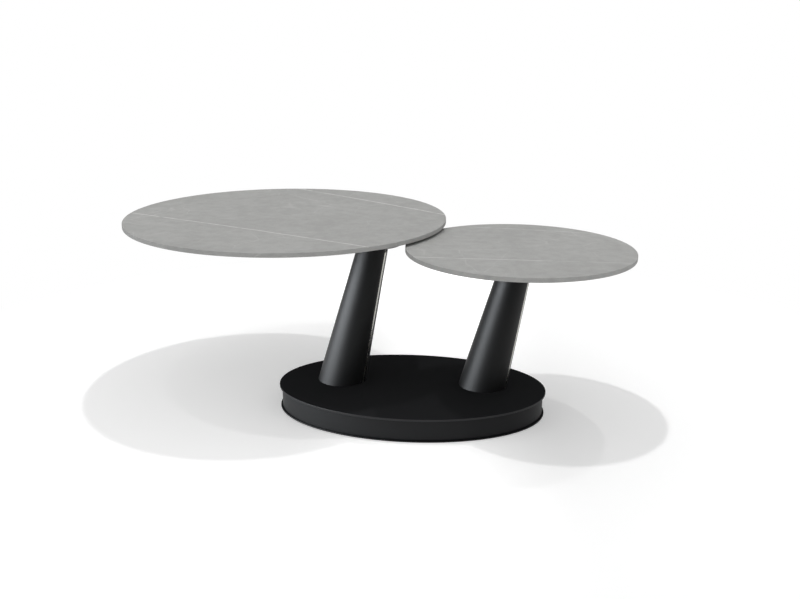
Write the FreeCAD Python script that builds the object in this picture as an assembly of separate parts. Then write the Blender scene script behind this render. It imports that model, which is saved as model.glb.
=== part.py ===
import FreeCAD, Part
import math
import os

# Swivel coffee table. Two round stone tops stand at two heights on a pair of parallel leaning
# legs over a weighted oval base. The larger, higher top is carried off-centre on a ball thrust
# bearing in the head of its leg, so it swings round over the smaller one. Millimetres, +Z up.
# Origin: the middle of the oval base, on the floor. X runs along the oval, the front is -Y.

# Base: a thin oval lid over a recessed band and a bottom plate
BASE_LENGTH = 624.0
BASE_WIDTH = 398.0
BASE_HEIGHT = 57.0
LID_THICKNESS = 5.0
BAND_INSET = 6.0
BAND_WALL = 3.0
BOTTOM_THICKNESS = 3.0
BOTTOM_INSET = 2.0
PAD_THICKNESS = 2.0
PAD_INSET = 14.0

# Ballast block inside the base, with a pocket under each leg and a hole round each post
BALLAST_SIDE_GAP = 0.5
BALLAST_TOP_GAP = 1.0
POCKET_DIAMETER = 96.0
POST_HOLE_GAP = 0.5

# Posts that tie the bottom plate to the lid
POST_COUNT = 6
POST_DIAMETER = 20.0
POST_LENGTH_SHARE = 0.85
POST_WIDTH_SHARE = 0.75
BASE_SCREW_DIAMETER = 6.0
BASE_SCREW_HEAD_DIAMETER = 11.0
BASE_SCREW_HEAD = 2.6
BASE_SCREW_LENGTH = 16.0

# Legs: leaning tapered round tubes with level ends, measured square to their axes
LEG_SPACING = 334.0
LEG_SET_BACK = 20.5
LEG_LEAN_DEGREES = 12.7
LEG_FOOT_DIAMETER = 110.5
LEG_HEAD_DIAMETER = 69.5
LEG_WALL = 3.0
FOOT_PLATE_THICKNESS = 8.0
HEAD_PLATE_THICKNESS = 6.0
LEG_BOLT_COUNT = 4
LEG_BOLT_CIRCLE = 68.0
LEG_BOLT_DIAMETER = 8.0
LEG_BOLT_HEAD_DIAMETER = 13.0
LEG_BOLT_HEAD = 8.0
LEG_BOLT_END_GAP = 1.0

# Bright strip let into the side of each leg
STRIP_BEARING_DEGREES = -20.5
STRIP_WIDTH = 10.0
STRIP_DEPTH = 1.5

# Stone tops and the steel discs that carry them
LARGE_TOP_HEIGHT = 405.0
LARGE_TOP_DIAMETER = 800.0
LARGE_TOP_OFFSET = 321.8
LARGE_TOP_BEARING_DEGREES = 139.1
SMALL_TOP_DROP = 16.0
SMALL_TOP_DIAMETER = 515.0
SLAB_THICKNESS = 10.0
SLAB_ARRIS = 0.8
DISC_DIAMETER = 130.0
DISC_THICKNESS = 6.0
DISC_SCREW_COUNT = 6
DISC_SCREW_CIRCLE = 106.0
DISC_SCREW_DIAMETER = 5.0
DISC_SCREW_HEAD_DIAMETER = 9.0
DISC_SCREW_HEAD = 3.0
INSERT_DIAMETER = 8.0
INSERT_LENGTH = 6.5
INSERT_END_GAP = 0.5
HEAD_BOLT_COUNT = 4
HEAD_BOLT_CIRCLE = 44.0
HEAD_BOLT_DIAMETER = 6.0
HEAD_BOLT_HEAD_DIAMETER = 11.0
HEAD_BOLT_HEAD = 3.0

# Swivel bearing in the head of the large top's leg
BALL_COUNT = 18
BALL_DIAMETER = 5.0
BALL_CIRCLE = 46.0
GROOVE_DEPTH = 1.0
RACE_THICKNESS = 3.0
RACE_BORE = 30.0
RACE_DIAMETER = 60.0
CAGE_THICKNESS = 1.6
CAGE_WIDTH = 9.0
CAGE_BALL_GAP = 0.15
SPINDLE_DIAMETER = 16.0
SPINDLE_TAIL = 3.0
HOUSING_WALL = 3.0
HOUSING_LENGTH = 46.0
BUSH_WALL = 4.0
BUSH_LENGTH = 14.0
BUSH_FLANGE = 2.0
WASHER_DIAMETER = 28.0
WASHER_THICKNESS = 2.0
NUT_ACROSS_FLATS = 24.0
NUT_THICKNESS = 9.0

# Fits
RUNNING_FIT = 0.05
SEAT_FIT = 0.05
HOLE_CLEARANCE = 0.3
THREAD_CLEARANCE = 0.05
OVERRUN = 5.0

# Levels that follow from the sizes
Z = FreeCAD.Vector(0, 0, 1)
BOTTOM_TOP = PAD_THICKNESS + BOTTOM_THICKNESS
LID_BOTTOM = BASE_HEIGHT - LID_THICKNESS
RACE_GAP = BALL_DIAMETER + 2 * RUNNING_FIT - 2 * GROOVE_DEPTH
LARGE_DISC_BOTTOM = LARGE_TOP_HEIGHT - SLAB_THICKNESS - DISC_THICKNESS
LARGE_HEAD = LARGE_DISC_BOTTOM - 2 * RACE_THICKNESS - RACE_GAP
BALL_LEVEL = LARGE_HEAD + RACE_THICKNESS + RACE_GAP / 2
SMALL_TOP_HEIGHT = LARGE_TOP_HEIGHT - SMALL_TOP_DROP
SMALL_HEAD = SMALL_TOP_HEIGHT - SLAB_THICKNESS - DISC_THICKNESS
HOUSING_DIAMETER = SPINDLE_DIAMETER + 2 * (BUSH_WALL + HOUSING_WALL)
HOUSING_BOTTOM = LARGE_HEAD - HOUSING_LENGTH
WASHER_TOP = HOUSING_BOTTOM - BUSH_FLANGE - RUNNING_FIT
NUT_TOP = WASHER_TOP - WASHER_THICKNESS


class Leg:
    """A leaning tapered round leg, cut level at the lid of the base and at its head."""

    def __init__(self, foot_x, head):
        self.foot = FreeCAD.Vector(foot_x, LEG_SET_BACK, BASE_HEIGHT)
        self.head = head
        self.length = (head - BASE_HEIGHT) / math.cos(math.radians(LEG_LEAN_DEGREES))

    def centre(self, level):
        """Point of the leg's axis at a level."""
        rise = level - self.foot.z
        return self.foot + FreeCAD.Vector(rise * math.tan(math.radians(LEG_LEAN_DEGREES)), 0, rise)

    def radius(self, along):
        """Radius square to the axis, at a distance along it from the foot."""
        return (LEG_FOOT_DIAMETER + (LEG_HEAD_DIAMETER - LEG_FOOT_DIAMETER) * along / self.length) / 2

    def lean(self, shape, bottom, top):
        """An upright shape made round the origin, leant over on the foot and cut level at both ends."""
        shape.rotate(FreeCAD.Vector(), FreeCAD.Vector(0, 1, 0), LEG_LEAN_DEGREES)
        shape.translate(self.foot)
        corner = FreeCAD.Vector(-BASE_LENGTH, -BASE_LENGTH, bottom)
        return shape.common(Part.makeBox(2 * BASE_LENGTH, 2 * BASE_LENGTH, top - bottom, corner))

    def upright(self, inset):
        """The leg's cone before it leans, drawn in by inset and longer than the leg at both ends."""
        low, high = -LEG_FOOT_DIAMETER / 2, self.length + LEG_FOOT_DIAMETER / 2
        return Part.makeCone(self.radius(low) - inset, self.radius(high) - inset, high - low,
                             FreeCAD.Vector(0, 0, low))

    def strip_bar(self, slack):
        """Bar along the upright cone, proud of its surface and hollowed underneath to the strip's depth."""
        bearing = math.radians(STRIP_BEARING_DEGREES)
        out = FreeCAD.Vector(math.cos(bearing), math.sin(bearing), 0)
        half = Z.cross(out) * (STRIP_WIDTH / 2 + slack)
        low, high = -LEG_FOOT_DIAMETER / 2, self.length + LEG_FOOT_DIAMETER / 2
        outline = [out * (self.radius(along) + reach) + Z * along
                   for along, reach in ((low, OVERRUN), (high, OVERRUN), (high, -OVERRUN), (low, -OVERRUN))]
        corners = [point - half for point in outline]
        bar = Part.Face(Part.makePolygon(corners + corners[:1])).extrude(half * 2)
        return bar.cut(self.upright(STRIP_DEPTH + slack))

    def solid(self, bottom, top, inset):
        """Solid cut of the leg between two levels, drawn in by inset all round."""
        return self.lean(self.upright(inset), bottom, top)


LARGE_LEG = Leg(-LEG_SPACING / 2, LARGE_HEAD)
SMALL_LEG = Leg(LEG_SPACING / 2, SMALL_HEAD)
PIVOT = LARGE_LEG.centre(LARGE_HEAD)
SMALL_AXIS = SMALL_LEG.centre(SMALL_HEAD)


def save(name, shape):
    """Write one piece, or one group of like pieces, under its node name."""
    shape.exportStep("parts/" + name + ".step")


def at_level(point, level):
    """The point moved up or down to a level."""
    return FreeCAD.Vector(point.x, point.y, level)


def polar(centre, diameter, degrees):
    """A point on a level circle round the centre."""
    angle = math.radians(degrees)
    return centre + FreeCAD.Vector(math.cos(angle), math.sin(angle), 0) * (diameter / 2)


def circle_of(centre, diameter, count):
    """Evenly spaced points on a level circle, the first half a step round from +X."""
    step = 360 / count
    return [polar(centre, diameter, step * (index + 1 / 2)) for index in range(count)]


def rod(point, diameter, bottom, top):
    """Upright round bar between two levels."""
    return Part.makeCylinder(diameter / 2, top - bottom, at_level(point, bottom), Z)


def ring(point, diameter, bore, bottom, top):
    """Upright tube between two levels."""
    return rod(point, diameter, bottom, top).cut(rod(point, bore, bottom - OVERRUN, top + OVERRUN))


def cone(point, bottom_diameter, top_diameter, bottom, top):
    """Upright cone frustum between two levels."""
    return Part.makeCone(bottom_diameter / 2, top_diameter / 2, top - bottom, at_level(point, bottom), Z)


def oval(inset, bottom, top):
    """Level oval plate that follows the base outline, drawn in by inset."""
    outline = Part.Ellipse(FreeCAD.Vector(0, 0, bottom), BASE_LENGTH / 2 - inset, BASE_WIDTH / 2 - inset)
    return Part.Face(Part.Wire(outline.toShape())).extrude(Z * (top - bottom))


def group(shapes):
    """Like pieces kept as one group."""
    return Part.makeCompound(list(shapes))


def post_places():
    """Middles of the posts, on an oval inside the base outline."""
    turns = [math.radians(360 / POST_COUNT * index) for index in range(POST_COUNT)]
    return [FreeCAD.Vector(BASE_LENGTH / 2 * POST_LENGTH_SHARE * math.cos(turn),
                           BASE_WIDTH / 2 * POST_WIDTH_SHARE * math.sin(turn), 0) for turn in turns]


def leg_bolt_places():
    """Middles of the bolts that hold both legs to the lid."""
    return [place for leg in (LARGE_LEG, SMALL_LEG)
            for place in circle_of(leg.foot, LEG_BOLT_CIRCLE, LEG_BOLT_COUNT)]


def base_lid():
    """Top plate of the base, drilled for the leg bolts."""
    lid = oval(0, LID_BOTTOM, BASE_HEIGHT)
    bore = LEG_BOLT_DIAMETER + 2 * HOLE_CLEARANCE
    return lid.cut([rod(place, bore, LID_BOTTOM - OVERRUN, BASE_HEIGHT + OVERRUN)
                    for place in leg_bolt_places()])


def base_band():
    """Upright wall between the lid and the bottom plate."""
    hollow = oval(BAND_INSET + BAND_WALL, BOTTOM_TOP - OVERRUN, LID_BOTTOM + OVERRUN)
    return oval(BAND_INSET, BOTTOM_TOP, LID_BOTTOM).cut(hollow)


def countersink(place, slack):
    """Flat-headed base screw's head, let in flush from below."""
    return cone(place, BASE_SCREW_HEAD_DIAMETER + 2 * slack, BASE_SCREW_DIAMETER + 2 * slack,
                PAD_THICKNESS, PAD_THICKNESS + BASE_SCREW_HEAD)


def base_bottom():
    """Bottom plate, countersunk for the screws into the posts."""
    plate = oval(BOTTOM_INSET, PAD_THICKNESS, BOTTOM_TOP)
    bore = BASE_SCREW_DIAMETER + 2 * HOLE_CLEARANCE
    holes = [rod(place, bore, PAD_THICKNESS - OVERRUN, BOTTOM_TOP + OVERRUN) for place in post_places()]
    return plate.cut(holes + [countersink(place, HOLE_CLEARANCE) for place in post_places()])


def base_screws():
    """Flat-headed screws up through the bottom plate into the posts."""
    return group(countersink(place, 0).fuse(
        rod(place, BASE_SCREW_DIAMETER, PAD_THICKNESS, PAD_THICKNESS + BASE_SCREW_LENGTH))
        .removeSplitter() for place in post_places())


def base_posts():
    """Round posts between the plates, tapped from below."""
    bore = BASE_SCREW_DIAMETER + 2 * THREAD_CLEARANCE
    depth = PAD_THICKNESS + BASE_SCREW_LENGTH + LEG_BOLT_END_GAP
    return group(rod(place, POST_DIAMETER, BOTTOM_TOP, LID_BOTTOM).cut(
        rod(place, bore, BOTTOM_TOP - OVERRUN, depth)) for place in post_places())


def base_ballast():
    """Ballast block that fills the base round the posts and the leg bolts."""
    top = LID_BOTTOM - BALLAST_TOP_GAP
    block = oval(BAND_INSET + BAND_WALL + BALLAST_SIDE_GAP, BOTTOM_TOP, top)
    pockets = [rod(leg.foot, POCKET_DIAMETER, BOTTOM_TOP - OVERRUN, top + OVERRUN)
               for leg in (LARGE_LEG, SMALL_LEG)]
    holes = [rod(place, POST_DIAMETER + 2 * POST_HOLE_GAP, BOTTOM_TOP - OVERRUN, top + OVERRUN)
             for place in post_places()]
    return block.cut(pockets + holes)


def cap_screw(place, seat, diameter, head_diameter, head, length):
    """Screw with a round head below its seat and a shank up from it."""
    shank = rod(place, diameter, seat - head, seat + length)
    return shank.fuse(rod(place, head_diameter, seat - head, seat)).removeSplitter()


def leg_bolts():
    """Bolts up through the lid into the foot plates of both legs."""
    length = LID_THICKNESS + FOOT_PLATE_THICKNESS - LEG_BOLT_END_GAP
    return group(cap_screw(place, LID_BOTTOM, LEG_BOLT_DIAMETER, LEG_BOLT_HEAD_DIAMETER,
                           LEG_BOLT_HEAD, length) for place in leg_bolt_places())


def leg_shell(leg):
    """Tapered tube wall of a leg, open at both ends and grooved for its strip."""
    wall = leg.upright(0).cut([leg.upright(LEG_WALL), leg.strip_bar(SEAT_FIT)])
    return leg.lean(wall, leg.foot.z, leg.head)


def leg_strip(leg):
    """Bright strip with its face flush with the leg's round side."""
    return leg.lean(leg.strip_bar(0).common(leg.upright(0)), leg.foot.z, leg.head)


def foot_plate(leg):
    """Plate inside the leg's foot, tapped for the bolts."""
    top = leg.foot.z + FOOT_PLATE_THICKNESS
    bore = LEG_BOLT_DIAMETER + 2 * THREAD_CLEARANCE
    return leg.solid(leg.foot.z, top, LEG_WALL + SEAT_FIT).cut(
        [rod(place, bore, leg.foot.z - OVERRUN, top + OVERRUN)
         for place in circle_of(leg.foot, LEG_BOLT_CIRCLE, LEG_BOLT_COUNT)])


def head_plate(leg, holes):
    """Plate inside the leg's head, less the holes."""
    return leg.solid(leg.head - HEAD_PLATE_THICKNESS, leg.head, LEG_WALL + SEAT_FIT).cut(holes)


def large_head_plate():
    """Head plate of the large leg, bored for the bearing housing."""
    bore = rod(PIVOT, HOUSING_DIAMETER + 2 * SEAT_FIT, LARGE_HEAD - HEAD_PLATE_THICKNESS - OVERRUN,
               LARGE_HEAD + OVERRUN)
    return head_plate(LARGE_LEG, [bore])


def small_head_plate():
    """Head plate of the small leg, tapped for the bolts of its disc."""
    bore = HEAD_BOLT_DIAMETER + 2 * THREAD_CLEARANCE
    return head_plate(SMALL_LEG, [
        rod(place, bore, SMALL_HEAD - HEAD_PLATE_THICKNESS - OVERRUN, SMALL_HEAD + OVERRUN)
        for place in circle_of(SMALL_AXIS, HEAD_BOLT_CIRCLE, HEAD_BOLT_COUNT)])


def swivel_housing():
    """Tube in the leg's head that holds the bushes."""
    bore = SPINDLE_DIAMETER + 2 * BUSH_WALL
    return ring(PIVOT, HOUSING_DIAMETER, bore, HOUSING_BOTTOM, LARGE_HEAD)


def bush(bottom, top):
    """Plain bush that fits the housing and runs on the spindle."""
    outside = SPINDLE_DIAMETER + 2 * BUSH_WALL - 2 * SEAT_FIT
    return ring(PIVOT, outside, SPINDLE_DIAMETER + 2 * RUNNING_FIT, bottom, top)


def lower_bush():
    """Flanged bush in the housing's lower end."""
    flange = ring(PIVOT, HOUSING_DIAMETER, SPINDLE_DIAMETER + 2 * RUNNING_FIT,
                  HOUSING_BOTTOM - BUSH_FLANGE, HOUSING_BOTTOM)
    return bush(HOUSING_BOTTOM, HOUSING_BOTTOM + BUSH_LENGTH).fuse(flange).removeSplitter()


def race(bottom):
    """Grooved washer that the balls run on."""
    groove = Part.makeTorus(BALL_CIRCLE / 2, BALL_DIAMETER / 2 + RUNNING_FIT,
                            at_level(PIVOT, BALL_LEVEL), Z)
    return ring(PIVOT, RACE_DIAMETER, RACE_BORE, bottom, bottom + RACE_THICKNESS).cut(groove)


def ball_places():
    """Middles of the balls."""
    return circle_of(at_level(PIVOT, BALL_LEVEL), BALL_CIRCLE, BALL_COUNT)


def swivel_balls():
    """Ring of steel balls."""
    return group(Part.makeSphere(BALL_DIAMETER / 2, place) for place in ball_places())


def ball_cage():
    """Flat cage that spaces the balls."""
    bottom, top = BALL_LEVEL - CAGE_THICKNESS / 2, BALL_LEVEL + CAGE_THICKNESS / 2
    cage = ring(PIVOT, BALL_CIRCLE + CAGE_WIDTH, BALL_CIRCLE - CAGE_WIDTH, bottom, top)
    hole = BALL_DIAMETER + 2 * CAGE_BALL_GAP
    return cage.cut([rod(place, hole, bottom - OVERRUN, top + OVERRUN) for place in ball_places()])


def swivel_spindle():
    """Spindle under the large disc, with a collar that centres the upper race."""
    tail = NUT_TOP - NUT_THICKNESS - SPINDLE_TAIL
    shaft = rod(PIVOT, SPINDLE_DIAMETER, tail, LARGE_DISC_BOTTOM + DISC_THICKNESS)
    collar = rod(PIVOT, RACE_BORE - 2 * SEAT_FIT, LARGE_DISC_BOTTOM - RACE_THICKNESS, LARGE_DISC_BOTTOM)
    return shaft.fuse(collar).removeSplitter()


def spindle_washer():
    """Washer under the lower bush."""
    return ring(PIVOT, WASHER_DIAMETER, SPINDLE_DIAMETER + 2 * SEAT_FIT, NUT_TOP, WASHER_TOP)


def spindle_nut():
    """Hexagon lock nut on the spindle."""
    bottom = NUT_TOP - NUT_THICKNESS
    across_corners = NUT_ACROSS_FLATS / math.cos(math.pi / 6)
    corners = circle_of(at_level(PIVOT, bottom), across_corners, 6)
    prism = Part.Face(Part.makePolygon(corners + corners[:1])).extrude(Z * NUT_THICKNESS)
    return prism.cut(rod(PIVOT, SPINDLE_DIAMETER + 2 * SEAT_FIT, bottom - OVERRUN, NUT_TOP + OVERRUN))


def disc_screw_places(axis):
    """Middles of the screws between a disc and its slab."""
    return circle_of(axis, DISC_SCREW_CIRCLE, DISC_SCREW_COUNT)


def carrier_disc(axis, bottom, holes):
    """Steel disc under a slab, drilled for its screws, less the holes."""
    bore = DISC_SCREW_DIAMETER + 2 * HOLE_CLEARANCE
    drilled = [rod(place, bore, bottom - OVERRUN, bottom + DISC_THICKNESS + OVERRUN)
               for place in disc_screw_places(axis)]
    return rod(axis, DISC_DIAMETER, bottom, bottom + DISC_THICKNESS).cut(drilled + holes)


def large_disc():
    """Disc of the large top, bored for the spindle."""
    bore = rod(PIVOT, SPINDLE_DIAMETER + 2 * SEAT_FIT, LARGE_DISC_BOTTOM - OVERRUN,
               LARGE_DISC_BOTTOM + DISC_THICKNESS + OVERRUN)
    return carrier_disc(PIVOT, LARGE_DISC_BOTTOM, [bore])


def head_bolt_head(place, slack):
    """Countersunk head of a bolt in the small top's disc."""
    top = SMALL_HEAD + DISC_THICKNESS
    return cone(place, HEAD_BOLT_DIAMETER + 2 * slack, HEAD_BOLT_HEAD_DIAMETER + 2 * slack,
                top - HEAD_BOLT_HEAD, top)


def head_bolts():
    """Flat-headed bolts down through the small disc into the head plate."""
    top = SMALL_HEAD + DISC_THICKNESS
    return group(head_bolt_head(place, 0).fuse(
        rod(place, HEAD_BOLT_DIAMETER, SMALL_HEAD - HEAD_PLATE_THICKNESS, top)).removeSplitter()
        for place in circle_of(SMALL_AXIS, HEAD_BOLT_CIRCLE, HEAD_BOLT_COUNT))


def small_disc():
    """Disc of the small top, countersunk for the bolts into the head plate."""
    places = circle_of(SMALL_AXIS, HEAD_BOLT_CIRCLE, HEAD_BOLT_COUNT)
    bore = HEAD_BOLT_DIAMETER + 2 * HOLE_CLEARANCE
    holes = [rod(place, bore, SMALL_HEAD - OVERRUN, SMALL_HEAD + DISC_THICKNESS + OVERRUN)
             for place in places]
    return carrier_disc(SMALL_AXIS, SMALL_HEAD, holes + [head_bolt_head(place, HOLE_CLEARANCE)
                                                         for place in places])


def disc_screws(axis, disc_bottom):
    """Screws up through a disc into the slab's inserts."""
    length = DISC_THICKNESS + INSERT_LENGTH - INSERT_END_GAP
    return group(cap_screw(place, disc_bottom, DISC_SCREW_DIAMETER, DISC_SCREW_HEAD_DIAMETER,
                           DISC_SCREW_HEAD, length) for place in disc_screw_places(axis))


def slab_inserts(axis, slab_bottom):
    """Threaded sleeves set in the slab's underside."""
    return group(ring(place, INSERT_DIAMETER, DISC_SCREW_DIAMETER + 2 * THREAD_CLEARANCE,
                      slab_bottom, slab_bottom + INSERT_LENGTH) for place in disc_screw_places(axis))


def slab(centre, diameter, bottom, axis):
    """Round stone slab with eased edges and blind holes for the inserts."""
    body = rod(centre, diameter, bottom, bottom + SLAB_THICKNESS)
    rims = [edge for edge in body.Edges if edge.isClosed() and len(edge.Vertexes) == 1]
    holes = [rod(place, INSERT_DIAMETER + 2 * SEAT_FIT, bottom - OVERRUN, bottom + INSERT_LENGTH)
             for place in disc_screw_places(axis)]
    return body.makeFillet(SLAB_ARRIS, rims).cut(holes)


def build():
    """Write every piece of the table."""
    os.makedirs("parts", exist_ok=True)
    save("base_lid", base_lid())
    save("base_band", base_band())
    save("base_bottom_plate", base_bottom())
    save("base_ballast", base_ballast())
    save("base_posts", base_posts())
    save("base_screws", base_screws())
    save("base_floor_pad", oval(PAD_INSET, 0, PAD_THICKNESS))
    save("leg_bolts", leg_bolts())
    for name, leg in (("large", LARGE_LEG), ("small", SMALL_LEG)):
        save(name + "_leg_shell", leg_shell(leg))
        save(name + "_leg_strip", leg_strip(leg))
        save(name + "_leg_foot_plate", foot_plate(leg))
    save("large_leg_head_plate", large_head_plate())
    save("small_leg_head_plate", small_head_plate())
    save("swivel_housing", swivel_housing())
    save("swivel_upper_bush", bush(LARGE_HEAD - BUSH_LENGTH, LARGE_HEAD))
    save("swivel_lower_bush", lower_bush())
    save("swivel_lower_race", race(LARGE_HEAD))
    save("swivel_balls", swivel_balls())
    save("swivel_ball_cage", ball_cage())
    save("swivel_upper_race", race(LARGE_HEAD + RACE_THICKNESS + RACE_GAP))
    save("swivel_spindle", swivel_spindle())
    save("spindle_washer", spindle_washer())
    save("spindle_lock_nut", spindle_nut())
    large_centre = polar(PIVOT, 2 * LARGE_TOP_OFFSET, LARGE_TOP_BEARING_DEGREES)
    tops = (("large", PIVOT, large_centre, LARGE_TOP_DIAMETER, LARGE_DISC_BOTTOM),
            ("small", SMALL_AXIS, SMALL_AXIS, SMALL_TOP_DIAMETER, SMALL_HEAD))
    save("large_carrier_disc", large_disc())
    save("small_carrier_disc", small_disc())
    save("small_head_bolts", head_bolts())
    for name, axis, centre, diameter, disc_bottom in tops:
        slab_bottom = disc_bottom + DISC_THICKNESS
        save(name + "_disc_screws", disc_screws(axis, disc_bottom))
        save(name + "_slab_inserts", slab_inserts(axis, slab_bottom))
        save(name + "_top_slab", slab(centre, diameter, slab_bottom, axis))
    print("pivot", PIVOT, "small axis", SMALL_AXIS, "large centre", large_centre)


build()
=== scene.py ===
import logging
import math
from dataclasses import dataclass, field, replace
from enum import Enum
from functools import reduce
from typing import Any, Optional, Union

import bpy
import numpy as np
from mathutils import Matrix, Vector


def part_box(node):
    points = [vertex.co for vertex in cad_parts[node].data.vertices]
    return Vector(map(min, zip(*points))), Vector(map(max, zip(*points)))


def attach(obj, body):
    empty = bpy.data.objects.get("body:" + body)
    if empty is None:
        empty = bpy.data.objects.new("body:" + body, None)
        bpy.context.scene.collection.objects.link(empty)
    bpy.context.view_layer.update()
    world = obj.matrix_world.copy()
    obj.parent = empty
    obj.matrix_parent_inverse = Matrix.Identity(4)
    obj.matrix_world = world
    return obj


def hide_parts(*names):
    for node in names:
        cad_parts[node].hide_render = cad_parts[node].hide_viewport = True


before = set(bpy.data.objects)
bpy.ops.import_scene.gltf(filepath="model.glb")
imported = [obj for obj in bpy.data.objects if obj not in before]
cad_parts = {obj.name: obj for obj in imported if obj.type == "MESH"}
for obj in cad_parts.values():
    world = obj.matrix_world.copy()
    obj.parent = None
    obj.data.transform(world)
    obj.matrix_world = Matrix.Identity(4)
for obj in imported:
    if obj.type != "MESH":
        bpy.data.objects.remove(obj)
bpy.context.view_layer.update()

LOG = logging.getLogger("swivel_table")
MM = 0.001
NOISE_MIDDLE = 0.5
Colour = tuple[float, float, float]
Point = tuple[float, float, float]
Pole = Union[Point, np.ndarray]
PlanPoint = tuple[float, float]
Span = tuple[float, float]
Settings = dict[str, Any]
Sockets = dict[Union[str, int], Any]


class Body(Enum):
    """Rigid bodies of the table."""

    BASE = "base"
    LARGE_TOP = "large_top"


class Side(Enum):
    """The two halves of the table, named for their tops."""

    LARGE = "large"
    SMALL = "small"


class Slot(Enum):
    """Material slots that new pieces take their finish from."""

    STONE = "stone_top"
    BASE_PAINT = "base_paint"
    LEG_PAINT = "leg_paint"
    STRIP = "bright_strip"
    PAD = "pad"
    FASTENER = "fastener_steel"


class Cells(Enum):
    """What a cell pattern measures the distance to."""

    POINT = "F1"
    WALL = "DISTANCE_TO_EDGE"


class Value:
    """A shader socket that takes part in Python arithmetic."""

    def __init__(self, shader: "Shader", socket: bpy.types.NodeSocket) -> None:
        """Wrap one output socket of a shader."""
        self.shader = shader
        self.socket = socket

    def __add__(self, other: "Number") -> "Value":
        """Sum."""
        return self.shader.math("ADD", self, other)

    def __radd__(self, other: "Number") -> "Value":
        """Sum with a number on the left."""
        return self.shader.math("ADD", other, self)

    def __sub__(self, other: "Number") -> "Value":
        """Difference."""
        return self.shader.math("SUBTRACT", self, other)

    def __rsub__(self, other: "Number") -> "Value":
        """Difference from a number on the left."""
        return self.shader.math("SUBTRACT", other, self)

    def __mul__(self, other: "Number") -> "Value":
        """Product."""
        return self.shader.math("MULTIPLY", self, other)

    def __rmul__(self, other: "Number") -> "Value":
        """Product with a number on the left."""
        return self.shader.math("MULTIPLY", other, self)

    def __abs__(self) -> "Value":
        """Absolute value."""
        return self.shader.math("ABSOLUTE", self)

    def __pow__(self, power: float) -> "Value":
        """Power."""
        return self.shader.math("POWER", self, power)

    def at_most(self, limit: "Number") -> "Value":
        """The smaller of this value and a limit."""
        return self.shader.math("MINIMUM", self, limit)

    def at_least(self, limit: "Number") -> "Value":
        """The larger of this value and a limit."""
        return self.shader.math("MAXIMUM", self, limit)

    def swing(self, size: float) -> "Value":
        """A noise's departure from its middle, times a size."""
        return (self - NOISE_MIDDLE) * size


Number = Union[float, Value]


@dataclass(frozen=True)
class Noise:
    """A smooth noise: features per metre, octaves and the weight of the finer octaves."""

    scale: float
    detail: float
    roughness: float


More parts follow.
